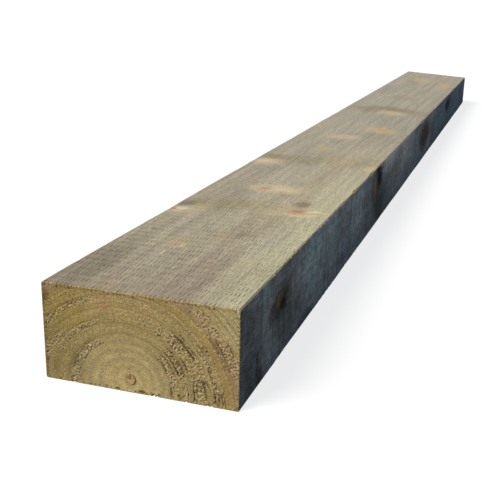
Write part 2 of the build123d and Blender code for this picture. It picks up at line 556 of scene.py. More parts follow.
# The rings aren't round: how much further out they lie in each direction from the pith, in
# degrees up from the right
RING_BEARINGS = (-90, -10, 0, 15, 30, 45, 60, 75, 90, 105, 120, 135, 150, 165, 180, 190, 270)
RING_STRETCH = (
    1.1, 1.1, 1.07, 1.02, 1.0, 0.98, 0.98, 0.99, 1.0, 1.035, 1.08, 1.16, 1.24, 1.33, 1.42, 1.42, 1.1
)


def bearing_of(dx, dz):
    """The direction from the pith, from -90 to 270 degrees."""
    bearing = np.degrees(np.arctan2(dz, dx))
    return np.where(bearing < -90, bearing + 360, bearing)


def ring_radius(dx, dz):
    """The size of the ring that a place lies on, as its radius straight above the pith."""
    return np.hypot(dx, dz) / np.interp(bearing_of(dx, dz), RING_BEARINGS, RING_STRETCH)


@dataclass
class Tear:
    """A part of a ring whose fibres the saw tore out, between two radii and two bearings."""

    inner: float
    outer: float
    start: float
    stop: float
    strength: float

    def over_bearings(self, bearing, share=1.0):
        """A share as it is between the tear's bearings, and faded out past them."""
        share = share * smoothstep(self.start - START_FADE, self.start + START_FADE, bearing)
        return share * smoothstep(self.stop + STOP_FADE, self.stop - STOP_FADE, bearing)


# How softly a tear starts and stops, in degrees, and how soft its two edges are on each side
START_FADE = 4.0
STOP_FADE = 6.0
OUTSIDE_FADE = 0.8
INSIDE_FADE = 0.5
GROOVE_FADE = (0.95, 0.2)

TEARS = (
    Tear(39.0, 45.5, -14, 48, 0.75),
    Tear(38.0, 44.0, 128, 192, 0.75),
    Tear(49.5, 55.0, -14, 46, 1.0),
    Tear(60.0, 70.0, -14, 66, 0.85),
    Tear(60.0, 68.0, 66, 106, 0.3),
    Tear(56.5, 62.0, 118, 166, 0.7),
    Tear(63.0, 67.5, 148, 192, 0.65),
    Tear(71.6, 74.2, 4, 47, 0.85),
    Tear(79.0, 82.5, -14, 36, 0.85),
    Tear(77.5, 82.5, 36, 114, 0.28),
    Tear(77.5, 82.5, 114, 163, 0.75),
    Tear(85.6, 87.4, -14, 33, 0.7),
    Tear(89.0, 93.0, 122, 150, 0.35),
    Tear(96.0, 97.6, 14, 54, 0.6),
    Tear(100.5, 109.0, 4, 54, 0.7),
)

# The relief of the ends: how deep the saw, the grain and the tearing cut
SAWN_DEPTH = 0.35
GRAIN_DEPTH = 0.25
TORN_SINK = 0.2
TORN_DEPTH = 0.8
TORN_EDGE_DEPTH = 0.9
FIBRE_HEIGHT = 0.3

# The sizes of the lumps that this relief follows, and how far the rings wander with theirs
RING_WANDER = 1.6
RING_LUMP = 11.0
TORN_LUMP = 7.0
PIT_LUMP = 1.3
COARSE_PIT_LUMP = 3.4
GRAIN_LUMP = 2.2
EDGE_LUMP = 10.0


def tear_strength(ring, bearing):
    """How badly the fibres are torn at a place on an end."""
    torn = np.zeros_like(ring)
    for tear in TEARS:
        within = smoothstep(tear.inner - OUTSIDE_FADE, tear.inner + INSIDE_FADE, ring)
        within = within * smoothstep(tear.outer + OUTSIDE_FADE, tear.outer - INSIDE_FADE, ring)
        torn = np.maximum(torn, tear.strength * tear.over_bearings(bearing, within))
    return torn


def torn_edge(ring, bearing):
    """How deep the edge of a torn band cuts in at a place on an end, as a share."""
    cut = np.zeros_like(ring)
    for tear in TEARS:
        within = tear.over_bearings(bearing) * tear.strength
        for edge in (tear.inner, tear.outer):
            cut = np.maximum(cut, within * smoothstep(*GROOVE_FADE, np.abs(ring - edge)))
    return cut


def torn_fibres(x, z, torn, seed):
    """The pits between torn fibres, and the fibres that stand up from them, as shares."""
    coarse = 0.25 * lumps(x, z, COARSE_PIT_LUMP, seed + 3)
    fine = 0.75 * lumps(x, z, PIT_LUMP, seed + 2) + coarse
    level = 0.76 - 0.26 * torn
    return smoothstep(level, level + 0.16, fine), smoothstep(0.5, 0.3, fine) * torn


def end_relief(x, z, far):
    """How deep the end's surface lies at x from the left and z up, its pits and its tearing."""
    across, up = pith_at(LENGTH if far else 0)
    seed = FAR_END_DRAWS if far else 0
    dx, dz = x - across, z - up
    bearing = bearing_of(dx, dz)
    ring = ring_radius(dx, dz) + RING_WANDER * (lumps(x, z, RING_LUMP, seed) - 0.5)
    torn = tear_strength(ring, bearing) * (0.7 + 0.6 * lumps(x, z, TORN_LUMP, seed + 1))
    pit, raised = torn_fibres(x, z, torn, seed)
    sawn = SAWN_DEPTH + GRAIN_DEPTH * (lumps(x, z, GRAIN_LUMP, seed + 6) - 0.5)
    depth = sawn + TORN_SINK * torn + TORN_DEPTH * pit * torn - FIBRE_HEIGHT * raised
    broken = smoothstep(0.30, 0.55, lumps(x, z, EDGE_LUMP, seed + 4))
    on_left = smoothstep(70, 110, bearing)
    cut = torn_edge(ring, bearing) * broken * (1 - 0.55 * on_left)
    depth = depth + TORN_EDGE_DEPTH * cut

    heart = heart_depth(dx * (-1 if far else 1), dz)
    # How far into a recess each point lies; the end's material paints shade with it
    recess = np.maximum(0.6 * pit * torn, 1.15 * cut)
    recess = np.maximum(recess, smoothstep(0, 1.4, heart))
    return np.maximum(depth + heart, 0.0), recess, torn


def heart_depth(dx, dz):
    """The opened ring beside the pith and the short cracks from it."""
    outer = RING_RADIUS + RING_SOFTNESS, RING_RADIUS - RING_SOFTNESS
    core = RING_RADIUS - CORE_SOFTNESS, RING_RADIUS + CORE_SOFTNESS
    into_ring = smoothstep(*outer, np.hypot(dx, dz))
    out_of_core = smoothstep(*core, np.hypot(dx + RING_GAP, dz))
    depth = RING_DEPTH * into_ring * out_of_core
    for bearing, length in zip(CRACK_BEARINGS, CRACK_LENGTHS):
        turn = radians(bearing)
        along = dx * cos(turn) + dz * sin(turn)
        aside = np.abs(dz * cos(turn) - dx * sin(turn))
        share = 1 - along / length
        opened = (along > 0) & (aside < CRACK_MOUTH / 2 * share)
        depth = np.maximum(depth, np.where(opened, CRACK_DEPTH * share, 0.0))
    return depth


def end_grid(far):
    """Points over an end, close together where it is torn and at the heart."""
    rng = np.random.default_rng(SEED + END_DRAWS + far)
    step = FAR_END_STEP if far else NEAR_END_STEP
    xs = np.arange(step, WIDTH - step / 2, step)
    zs = np.arange(step, HEIGHT - step / 2, step)
    x, z = np.meshgrid(xs, zs)
    i, j = np.meshgrid(range(len(xs)), range(len(zs)))
    x = x + rng.uniform(-END_STEP_PLAY, END_STEP_PLAY, x.shape) * step
    z = z + rng.uniform(-END_STEP_PLAY, END_STEP_PLAY, z.shape) * step
    across, up = pith_at(LENGTH if far else 0)
    dx, dz = x - across, z - up
    torn = tear_strength(ring_radius(dx, dz), bearing_of(dx, dz))
    keep = (torn > LEAST_TORN) | ((i % 2 == 0) & (j % 2 == 0))
    roof = HEIGHT - (FALL * x / WIDTH if far else 0)
    keep &= (x > END_INSET) & (x < WIDTH - END_INSET) & (z > END_INSET) & (z < roof - END_INSET)
    if not far:
        for crumb in BROKEN_CRUMBS:
            above = z > END_INSET + crumb.reach_b
            keep &= above | (np.abs(x - crumb.at) > crumb.after + crumb.before)
    keep &= np.hypot(dx, dz) > HEART_REACH
    x, z = x[keep], z[keep]

    hx, hz = np.meshgrid(
        np.arange(-HEART_REACH, HEART_REACH, HEART_STEP),
        np.arange(END_INSET - up, HEART_REACH, HEART_STEP),
    )
    heart = np.hypot(hx, hz) < HEART_REACH
    return np.append(x, hx[heart] + across), np.append(z, hz[heart] + up)


def add_end(skin, columns, far):
    """One cross-cut end: the broken edge round it and the torn surface inside."""
    outer = [column[0] for column in columns]
    inner = [column[1] for column in columns]
    skin.strip(outer + outer[:1], inner + inner[:1], END)
    x, z = end_grid(far)
    depth, recess, torn = end_relief(x, z, far)
    y = LENGTH / 2 - depth if far else depth - LENGTH / 2
    points = [
        skin.point(Vector((px - WIDTH / 2, py, pz)), sunk, ragged)
        for px, py, pz, sunk, ragged in zip(x, y, z, recess, torn)
    ]
    skin.fill(lambda place: Vector((place.x, place.z)), inner, END, inner=points)


def sunk_section(skin, edge, row, s):
    """The columns of a worn edge at an end: its row of points and the row on the end's surface."""
    sunk = []
    for place, outward in worn_section(edge, END_LEG if s == 0 else LENGTH - END_LEG):
        inner = place - outward * END_LEG
        inner.y = NEAR_Y + s
        sunk.append(skin.point(inner))
    return [list(pair) for pair in zip(row, sunk)]


def beam_skin():
    """The whole surface of the beam."""
    skin = Skin()
    rows = [add_edge(skin, edge) for edge in EDGES]
    rims = {}
    for far in (False, True):
        s = LENGTH if far else 0
        columns = []
        for i, side in enumerate(SIDES):
            start, stop = rows[i - 1], rows[i]
            pick = -1 if far else 0
            u_from = side.flat(skin.points[start[pick][-1]]).x
            u_to = side.flat(skin.points[stop[pick][0]]).x
            rim, side_columns = end_rim(skin, side, u_from, u_to, far)
            rims[i, far] = rim
            columns.extend(side_columns)
            columns.extend(sunk_section(skin, EDGES[i], stop[pick], s))
        add_end(skin, columns, far)

    for i, side in enumerate(SIDES):
        before = [row[-1] for row in rows[i - 1]]
        after = [row[0] for row in rows[i]]
        rim = rims[i, False] + after + rims[i, True][::-1] + before[::-1]
        slits = add_slits(skin, side, (EDGES[i - 1], EDGES[i])) if side.incised else []
        skin.fill(side.flat, rim, side.paint, slits)
    return skin


def add_object(name, data):
    thing = bpy.data.objects.new(name, data)
    bpy.context.scene.collection.objects.link(thing)
    return thing


def mesh_object(name, skin, materials):
    """A mesh in metres from collected points and faces, its normals turned outwards."""
    mesh = bpy.data.meshes.new(name)
    mesh.from_pydata([place * MM for place in skin.points], [], skin.faces)
    # The recess attribute sets the painted shade in the slits and in the ends' pits and grooves
    for label, values in (("recess", skin.recess), ("torn", skin.torn), ("ring", skin.rings())):
        layer = mesh.attributes.new(label, "FLOAT", "POINT")
        layer.data.foreach_set("value", values)
    mesh.polygons.foreach_set("material_index", skin.paints)
    for material in materials:
        mesh.materials.append(material)
    shell = bmesh.new()
    shell.from_mesh(mesh)
    bmesh.ops.recalc_face_normals(shell, faces=shell.faces)
    shell.to_mesh(mesh)
    shell.free()
    return add_object(name, mesh)


# Light, floor and camera

CAMERA_PLACE = (0.3150, -1.8290, 0.3651)
CAMERA_RIGHT = (0.94743, 0.31933, 0.01992)
CAMERA_UP = (-0.11435, 0.27981, 0.95322)
CAMERA_LENS = 59.043
CAMERA_SENSOR = 36.0


def add_camera():
    right, up = Vector(CAMERA_RIGHT), Vector(CAMERA_UP)
    data = bpy.data.cameras.new("camera")
    data.lens = CAMERA_LENS
    data.sensor_width = CAMERA_SENSOR
    data.clip_start = 0.05
    data.clip_end = 200
    camera = add_object("camera", data)
    turn = Matrix((right, up, right.cross(up))).transposed()
    camera.matrix_world = Matrix.Translation(CAMERA_PLACE) @ turn.to_4x4()
    bpy.context.scene.camera = camera


SKY = (0.85, 1.0, 1.25)
SKY_LEVEL = 0.17
KEY_TOWARDS = (-0.45, -0.55, 0.70)
KEY_COLOUR = (1.0, 0.97, 0.92)
KEY_LEVEL = 1.18
KEY_SOFTNESS = 35.0


def feed(tree, socket, value):
    """Sets a node's input, or links another node's output to it."""
    if isinstance(value, bpy.types.NodeSocket):
        tree.links.new(value, socket)
    else:
        socket.default_value = value


def add_node(tree, kind, *values, **settings):
    """A new node with its settings, and its first inputs fed with values or other outputs."""
    node = tree.nodes.new("ShaderNode" + kind)
    for name, value in settings.items():
        setattr(node, name, value)
    for socket, value in zip(node.inputs, values):
        feed(tree, socket, value)
    return node


def seen_directly(tree):
    """1 for rays from the camera, or seen in gloss or through glass, else 0."""
    path = add_node(tree, "LightPath")
    total = path.outputs["Is Camera Ray"]
    for name in ("Is Glossy Ray", "Is Transmission Ray"):
        total = add_node(tree, "Math", total, path.outputs[name], operation="MAXIMUM").outputs[0]
    return total


def add_world():
    world = bpy.data.worlds.new("studio")
    world.use_nodes = True
    tree = world.node_tree
    sky = tree.nodes["Background"]
    sky.inputs["Color"].default_value = (*SKY, 1)
    sky.inputs["Strength"].default_value = SKY_LEVEL
    white = add_node(tree, "Background", (1, 1, 1, 1))
    mix = add_node(tree, "MixShader", seen_directly(tree), sky.outputs[0], white.outputs[0])
    tree.links.new(mix.outputs[0], tree.nodes["World Output"].inputs["Surface"])
    bpy.context.scene.world = world


def add_key_light():
    data = bpy.data.lights.new("key", "SUN")
    data.energy = KEY_LEVEL * pi
    data.color = KEY_COLOUR
    data.angle = radians(KEY_SOFTNESS)
    lamp = add_object("key", data)
    lamp.rotation_mode = "QUATERNION"
    lamp.rotation_quaternion = Vector(KEY_TOWARDS).to_track_quat("Z", "Y")


FLOOR_HALF = 60.0
FLOOR_BOUNCE = 0.2
FLOOR_SEEN = 0.3
FLOOR_GLOW = 0.78


def floor_material():
    """White to the camera with a soft shadow, and a mid grey for the light that it bounces."""
    material = bpy.data.materials.new("studio_floor")
    material.use_nodes = True
    tree = material.node_tree
    tree.nodes.clear()
    bounce = add_node(tree, "BsdfDiffuse", (FLOOR_BOUNCE,) * 3 + (1,))
    shown = add_node(tree, "BsdfDiffuse", (FLOOR_SEEN,) * 3 + (1,))
    glow = add_node(tree, "Emission", (1, 1, 1, 1), FLOOR_GLOW)
    both = add_node(tree, "AddShader", shown.outputs[0], glow.outputs[0])
    mix = add_node(tree, "MixShader", seen_directly(tree), bounce.outputs[0], both.outputs[0])
    add_node(tree, "OutputMaterial", mix.outputs[0])
    return material


def add_floor():
    mesh = bpy.data.meshes.new("studio_floor")
    corners = [(x * FLOOR_HALF, y * FLOOR_HALF, 0) for x, y in ((-1, -1), (1, -1), (1, 1), (-1, 1))]
    mesh.from_pydata(corners, [], [(0, 1, 2, 3)])
    mesh.materials.append(floor_material())
    floor = add_object("studio_floor", mesh)
    floor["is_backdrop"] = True


def srgb(red, green, blue):
    """A colour given as it looks on a screen, 0 to 255, turned into linear light."""
    return tuple(
        c / 255 / 12.92 if c / 255 <= 0.04045 else ((c / 255 + 0.055) / 1.055) ** 2.4
        for c in (red, green, blue)
    )


@dataclass
class Patch:
    """A patch of colour on a face: its ends along it, its ends across it, and how strong it is."""

    s_from: float
    s_to: float
    u_from: float
    u_to: float
    colour: tuple
    strength: float
    softness: float


def patch_table(*rows):
    return tuple(Patch(*row) for row in rows)


ROUGHNESS = 0.85
SHEEN = 0.12
SAWN_BUMP = 0.35
END_BUMP = 0.5


class Paint:
    """A node material as it is made. Its methods add nodes and return sockets."""

    def __init__(self, name, sheen=SHEEN):
        self.material = bpy.data.materials.new(name)
        self.material.use_nodes = True
        self.tree = self.material.node_tree
        self.shader = self.tree.nodes["Principled BSDF"]
        self.shader.inputs["Roughness"].default_value = ROUGHNESS
        self.shader.inputs["Specular IOR Level"].default_value = sheen
        metres = add_node(self.tree, "TexCoord").outputs["Object"]
        scaled = self.vector("MULTIPLY", metres, (1 / MM,) * 3)
        self.place = self.vector("ADD", scaled, (WIDTH / 2, LENGTH / 2, 0))

    def math(self, operation, a, b=0.0):
        return add_node(self.tree, "Math", a, b, operation=operation).outputs[0]

    def plus(self, a, b):
        return self.math("ADD", a, b)

    def minus(self, a, b):
        return self.math("SUBTRACT", a, b)

    def times(self, a, b):
        return self.math("MULTIPLY", a, b)

    def vector(self, operation, a, b=(0, 0, 0)):
        node = add_node(self.tree, "VectorMath", a, b, operation=operation)
        return node.outputs["Value" if operation == "LENGTH" else "Vector"]

    def axis(self, place, name):
        return add_node(self.tree, "SeparateXYZ", place).outputs[name]

    def attribute(self, name):
        return add_node(self.tree, "Attribute", attribute_name=name).outputs["Fac"]

    def noise_node(self, periods, detail, shift):
        moved = self.vector("ADD", self.vector("DIVIDE", self.place, periods), (shift,) * 3)
        node = add_node(self.tree, "TexNoise", moved)
        node.inputs["Scale"].default_value = 1
        node.inputs["Detail"].default_value = detail
        return node

    def noise(self, periods, detail, shift):
        """Noise about 0.5, with lumps of the given lengths across, along and up the beam."""
        return self.noise_node(periods, detail, shift).outputs[0]

    def rise(self, value, low, high, most=1.0):
        """0 below low and `most` above high, with a smooth rise; low may be above high."""
        ends = (high, low, most, 0) if low > high else (low, high, 0, most)
        node = add_node(self.tree, "MapRange", value, *ends, interpolation_type="SMOOTHSTEP")
        return node.outputs[0]

    def mix(self, factor, a, b, kind="MIX"):
        node = add_node(self.tree, "Mix", factor, data_type="RGBA", blend_type=kind)
        for socket, colour in zip(node.inputs[6:8], (a, b)):
            feed(self.tree, socket, (*colour, 1) if isinstance(colour, tuple) else colour)
        return node.outputs[2]

    def shade(self, colour, value, dark, light):
        """Multiplies a colour by a grey that goes from dark to light as noise goes 0.3 to 0.7."""
        grey = self.plus(self.rise(value, 0.3, 0.7, light - dark), dark)
        node = add_node(self.tree, "CombineColor", grey, grey, grey)
        return self.mix(1.0, colour, node.outputs[0], "MULTIPLY")

    def warped(self, across, along):
        """The place, pushed about by slow noise, so that patches don't have clean outlines."""
        cloud = self.noise_node((22, 60, 22), 3, 3.7).outputs["Color"]
        push = self.vector("SUBTRACT", cloud, (0.5,) * 3)
        push = self.vector("MULTIPLY", push, (across, along, across))
        return self.vector("ADD", self.place, push)

    def patches(self, colour, place, patches, to_place, ragged=0.0):
        """Lays patches over a colour, in order. Their outlines are as ragged as asked."""
        frayed = self.centred(self.noise((5, 9, 5), 3, 21.0), 2 * ragged)
        for patch in patches:
            middle, size = to_place(patch)
            offset = self.vector("DIVIDE", self.vector("SUBTRACT", place, middle), size)
            distance = self.plus(self.vector("LENGTH", offset), frayed)
            edge = patch.softness / 2
            mask = self.rise(distance, 1 + edge, 1 - edge, patch.strength)
            colour = self.mix(mask, colour, srgb(*patch.colour))
        return colour

    def radius(self, wander):
        """The distance from the pith, which drifts along the beam, with the rings' wander added."""
        part = self.math("DIVIDE", self.axis(self.place, "Y"), LENGTH)
        squares = []
        for name, start, drift in zip("XZ", PITH, PITH_DRIFT):
            offset = self.minus(self.axis(self.place, name), start)
            offset = self.minus(offset, self.times(part, drift))
            squares.append(self.times(offset, offset))
        return self.plus(self.math("SQRT", self.plus(*squares)), wander)

    def between(self, value, low, high, soft):
        """1 between low and high and 0 outside them."""
        above = self.rise(value, low - soft, low + soft)
        return self.times(above, self.rise(value, high + soft, high - soft))

    def centred(self, value, amount):
        """Noise moved to lie about 0, and scaled."""
        return self.times(self.minus(value, 0.5), amount)

    def finish(self, colour, height, bump_mm):
        """Joins the colour and the bump to the shader."""
        node = add_node(self.tree, "Bump")
        node.inputs["Distance"].default_value = bump_mm * MM
        feed(self.tree, node.inputs["Height"], height)
        feed(self.tree, self.shader.inputs["Base Color"], colour)
        feed(self.tree, self.shader.inputs["Normal"], node.outputs[0])
        return self.material


# The half size of a patch in the direction that its face looks
FAR_AWAY = 1e5


def middle_and_halves(patch):
    """The middle of a patch across and along its face, and its half sizes."""
    u, s = (patch.u_from + patch.u_to) / 2, (patch.s_from + patch.s_to) / 2
    return u, s, (patch.u_to - patch.u_from) / 2, (patch.s_to - patch.s_from) / 2


def on_top(patch):
    """A top patch's middle and its half sizes, as from the left, along and up."""
    u, s, half_u, half_s = middle_and_halves(patch)
    return (u, s, HEIGHT), (half_u, half_s, FAR_AWAY)


def on_side(patch):
    """A side patch's middle and its half sizes; it is measured down from the top."""
    u, s, half_u, half_s = middle_and_halves(patch)
    return (WIDTH, s, HEIGHT - u), (FAR_AWAY, half_s, half_u)


def on_end(patch):
    """An end patch's middle and its half sizes; s runs down from the top and u from the left."""
    u, s, half_u, half_s = middle_and_halves(patch)
    return (u, 0, HEIGHT - s), (half_u, FAR_AWAY, half_s)


# What the photograph shows on the top, measured along from the near end and across from the left
TOP_TONES = patch_table(
    (-260, 110, -60, 260, (154, 143, 121), 0.9, 1.6),
    (420, 4200, -60, 260, (170, 163, 147), 0.8, 1.0),
    (70, 720, 96, 236, (188, 178, 150), 0.6, 1.4),
    (-300, 460, 168, 236, (190, 184, 152), 0.8, 1.0),
    (-60, 150, 108, 150, (150, 134, 118), 0.6, 1.2),
    (-40, 150, 2, 40, (140, 130, 112), 0.7, 1.0),
    (60, 250, 44, 78, (166, 158, 140), 0.45, 1.2),
    (190, 330, 108, 146, (156, 141, 117), 0.45, 1.2),
    (150, 260, 150, 176, (172, 168, 148), 0.5, 1.2),
    (228, 262, 82, 98, (176, 176, 146), 0.5, 1.0),
    (300, 378, 2, 96, (144, 134, 102), 0.55, 1.2),
    (330, 372, 60, 150, (162, 150, 116), 0.5, 1.2),
    (385, 455, 30, 66, (156, 147, 132), 0.5, 1.2),
    (400, 640, 150, 200, (192, 184, 156), 0.6, 1.2),
    (380, 520, 96, 150, (166, 153, 127), 0.4, 1.4),
    (470, 640, 66, 142, (178, 170, 148), 0.65, 0.9),
    (480, 660, 128, 160, (164, 149, 128), 0.5, 1.0),
    (540, 620, 20, 62, (152, 147, 132), 0.5, 1.2),
    (635, 700, 26, 110, (148, 138, 110), 0.5, 1.1),
    (640, 740, 100, 205, (170, 157, 124), 0.6, 1.1),
    (760, 980, 20, 110, (170, 165, 148), 0.5, 1.2),
    (800, 1010, 120, 190, (168, 156, 138), 0.5, 1.2),
    (1120, 1240, 10, 190, (160, 158, 142), 0.5, 1.2),
    (1285, 1400, 20, 205, (148, 140, 112), 0.6, 1.0),
    (1420, 1540, 10, 200, (170, 166, 146), 0.5, 1.2),
    (1545, 1665, 60, 130, (158, 150, 122), 0.5, 1.0),
    (1700, 1900, -10, 90, (156, 156, 142), 0.5, 1.2),
    (1960, 2060, 60, 210, (168, 160, 132), 0.5, 1.2),
)

TOP_KNOTS = patch_table(
    (140, 196, 44, 96, (180, 168, 136), 0.4, 1.6),
    (150, 172, 57, 77, (190, 156, 128), 0.6, 1.2),
    (150, 162, 76, 83, (210, 198, 150), 0.6, 1.0),
    (6, 27, 52, 72, (184, 152, 122), 0.35, 1.4),
    (118, 131, 69, 71.5, (226, 216, 180), 0.8, 0.6),
    (152, 165, 124, 130, (190, 160, 120), 0.5, 1.2),
    (183, 191, 136, 142, (204, 194, 150), 0.5, 1.2),
    (206, 230, 122, 134, (116, 102, 88), 0.45, 1.6),
    (202, 207, 18, 24, (98, 84, 72), 0.6, 1.0),
    (192, 222, 96, 114, (168, 146, 92), 0.4, 1.4),
    (282, 332, 0, 46, (196, 184, 140), 0.6, 1.2),
    (290, 316, 2, 26, (208, 190, 164), 0.7, 1.0),
    (297, 309, 7, 22, (228, 214, 192), 0.7, 1.0),
    (294, 303, 2, 9, (172, 110, 72), 0.75, 1.0),
    (308, 344, 2, 26, (108, 98, 92), 0.7, 1.3),
    (315, 344, 112, 150, (188, 176, 142), 0.5, 1.4),
    (322, 366, 136, 194, (198, 182, 140), 0.65, 1.2),
    (320, 331, 142, 184, (214, 202, 164), 0.65, 0.9),
    (327, 354, 144, 168, (186, 144, 112), 0.7, 1.1),
    (340, 347, 166, 192, (224, 210, 174), 0.75, 0.9),
    (340, 350, 150, 165, (150, 100, 74), 0.5, 1.2),
    (361, 392, 144, 164, (116, 100, 82), 0.65, 1.3),
    (428, 474, 58, 134, (212, 198, 160), 0.65, 1.1),
    (434, 464, 68, 92, (194, 154, 122), 0.65, 1.1),
    (446, 458, 74, 86, (172, 126, 98), 0.4, 1.2),
    (444, 452, 94, 122, (216, 200, 158), 0.6, 1.0),
    (470, 502, 194, 204, (206, 192, 150), 0.7, 0.9),
    (606, 664, 2, 52, (204, 190, 152), 0.65, 1.2),
    (622, 648, 6, 34, (220, 190, 160), 0.7, 1.1),
    (660, 700, 4, 40, (128, 116, 96), 0.5, 1.4),
    (622, 673, 186, 206, (208, 190, 146), 0.7, 1.0),
    (756, 808, 68, 100, (190, 174, 128), 0.6, 1.3),
    (764, 782, 76, 92, (188, 146, 110), 0.4, 1.3),
    (896, 944, 62, 116, (204, 182, 148), 0.65, 1.2),
    (908, 930, 76, 98, (204, 160, 128), 0.5, 1.2),
    (1000, 1068, 108, 172, (198, 182, 134), 0.6, 1.2),
    (1020, 1056, 132, 162, (202, 156, 112), 0.7, 1.1),
    (1268, 1332, 92, 152, (206, 190, 150), 0.65, 1.2),
    (1280, 1318, 104, 130, (208, 164, 118), 0.6, 1.1),
    (1340, 1390, 30, 150, (136, 124, 98), 0.4, 1.6),
    (1955, 2118, 146, 180, (198, 168, 124), 0.55, 1.3),
    (2075, 2205, 56, 96, (200, 174, 130), 0.6, 1.3),
    (2090, 2190, 88, 120, (184, 178, 134), 0.45, 1.4),
)

# Which of them are the hearts of the knots that the rings bend round, and how they bend there
TOP_KNOT_HEARTS = (1, 11, 16, 21, 26, 31, 34, 36)
KNOT_WIDENING = 2.2
KNOT_REACH = 1.3
KNOT_PUSH = 9.0


def lines_at(paint, colour, value, places, width, tone, strength, core=0.15):
    """Thin lines where a value is at one of the places, full in the core share of their width."""
    for at in places:
        distance = paint.math("ABSOLUTE", paint.minus(value, at))
        colour = paint.mix(paint.rise(distance, width, width * core, strength), colour, tone)
    return colour


def wood_lines(paint, colour, radius, dark, width, gap):
    """Thin darker lines where a face cuts the rings, one at every gap from the pith."""
    phase = paint.math("PINGPONG", radius, gap / 2)
    return paint.mix(paint.rise(phase, width, 0.0, dark), colour, srgb(96, 82, 62))


def grain(paint, colour, figure):
    """Streaks, rings and fibres of a sawn face."""

    def periods(wide, long):
        return (wide, long, wide)

    colour = paint.shade(colour, paint.noise(periods(13, 330), 3, 1.3), 0.90, 1.09)
    colour = paint.shade(colour, paint.noise(periods(3.6, 150), 2, 5.1), 0.93, 1.06)
    colour = wood_lines(paint, colour, figure, 0.10, 1.4, 8.2)
    colour = wood_lines(paint, colour, figure, 0.05, 0.7, 2.9)
    colour = paint.shade(colour, paint.noise(periods(0.9, 22), 2, 7.7), 0.84, 1.15)
    return paint.shade(colour, paint.noise(periods(1.6, 3.4), 2, 9.2), 0.85, 1.14)


def face_figure(paint, knots, to_place):
    """The rings' distance on a long face, pushed out round its knots and wandering slowly."""
    wander = paint.centred(paint.noise((60, 420, 60), 2, 2.4), 26)
    wander = paint.plus(wander, paint.centred(paint.noise((16, 90, 16), 2, 4.4), 4))
    for patch in knots:
        middle, size = to_place(patch)
        wide = tuple(KNOT_WIDENING * part for part in size)
        offset = paint.vector("DIVIDE", paint.vector("SUBTRACT", paint.place, middle), wide)
        push = paint.rise(paint.vector("LENGTH", offset), KNOT_REACH, 0.0, KNOT_PUSH)
        wander = paint.plus(wander, push)
    return paint.radius(wander)


def painted_slit_shade(paint, colour):
    """Painted shade inside the slits, darkest at their bottoms."""
    return paint.mix(paint.rise(paint.attribute("recess"), 0.0, 1.1, 0.8), colour, srgb(70, 60, 48))


def sawn_height(paint):
    """Fibres and saw marks for a sawn face's bump."""
    fibres = paint.noise((0.9, 24, 0.9), 3, 6.6)
    fuzz = paint.noise((1.1, 2.4, 1.1), 2, 8.8)
    return paint.plus(fibres, paint.times(fuzz, 0.5))


def top_material():
    paint = Paint("sawn_top")
    place = paint.warped(7, 26)
    colour = paint.patches(srgb(172, 161, 137), paint.warped(16, 90), TOP_TONES, on_top)
    figure = face_figure(paint, [TOP_KNOTS[i] for i in TOP_KNOT_HEARTS], on_top)
    colour = grain(paint, colour, figure)
    colour = paint.patches(colour, place, TOP_KNOTS, on_top, 0.5)
    colour = paint.shade(colour, paint.noise((1.1, 9, 1.1), 2, 12.1), 0.94, 1.06)
    return paint.finish(painted_slit_shade(paint, colour), sawn_height(paint), SAWN_BUMP)


# What the photograph shows on the right side, measured along it and down from the top
# Painted shade: these tones, like the side's base colour, are blue-grey partly from the treatment's
# teal and partly from the blue of the side in shadow
SIDE_TONES = patch_table(
    (-200, 4000, 60, 140, (172, 182, 184), 0.7, 1.0),
    (100, 205, -10, 110, (141, 141, 141), 0.6, 0.6),
    (208, 318, -10, 74, (176, 198, 196), 0.8, 0.5),
    (326, 392, -2, 60, (176, 196, 195), 0.7, 0.6),
    (395, 470, -10, 110, (152, 160, 166), 0.6, 0.7),
    (470, 580, -6, 56, (188, 202, 201), 0.7, 0.7),
    (560, 640, -10, 110, (163, 171, 171), 0.5, 0.8),
    (560, 670, 14, 100, (130, 132, 128), 0.45, 1.0),
    (640, 850, 28, 140, (124, 130, 130), 0.7, 1.0),
    (1110, 1300, 10, 110, (136, 142, 145), 0.5, 1.0),
    (700, 1090, -16, 30, (238, 238, 238), 0.85, 0.9),
    (820, 1090, 8, 80, (201, 207, 207), 0.65, 1.0),
    (64, 104, 4, 26, (166, 188, 188), 0.5, 0.9),
    (-60, 70, -10, 120, (104, 108, 110), 0.75, 0.8),
    (1100, 1220, 10, 110, (169, 180, 185), 0.5, 0.9),
    # Painted shade: this patch makes the far part of the side darker and bluer
    (1420, 2800, -30, 140, (140, 158, 168), 0.9, 0.25),
    (1560, 1640, -10, 110, (125, 152, 171), 0.4, 0.8),
    (1740, 1960, -10, 80, (122, 141, 152), 0.6, 0.9),
    (2080, 2500, -10, 120, (144, 163, 174), 0.4, 1.0),
)

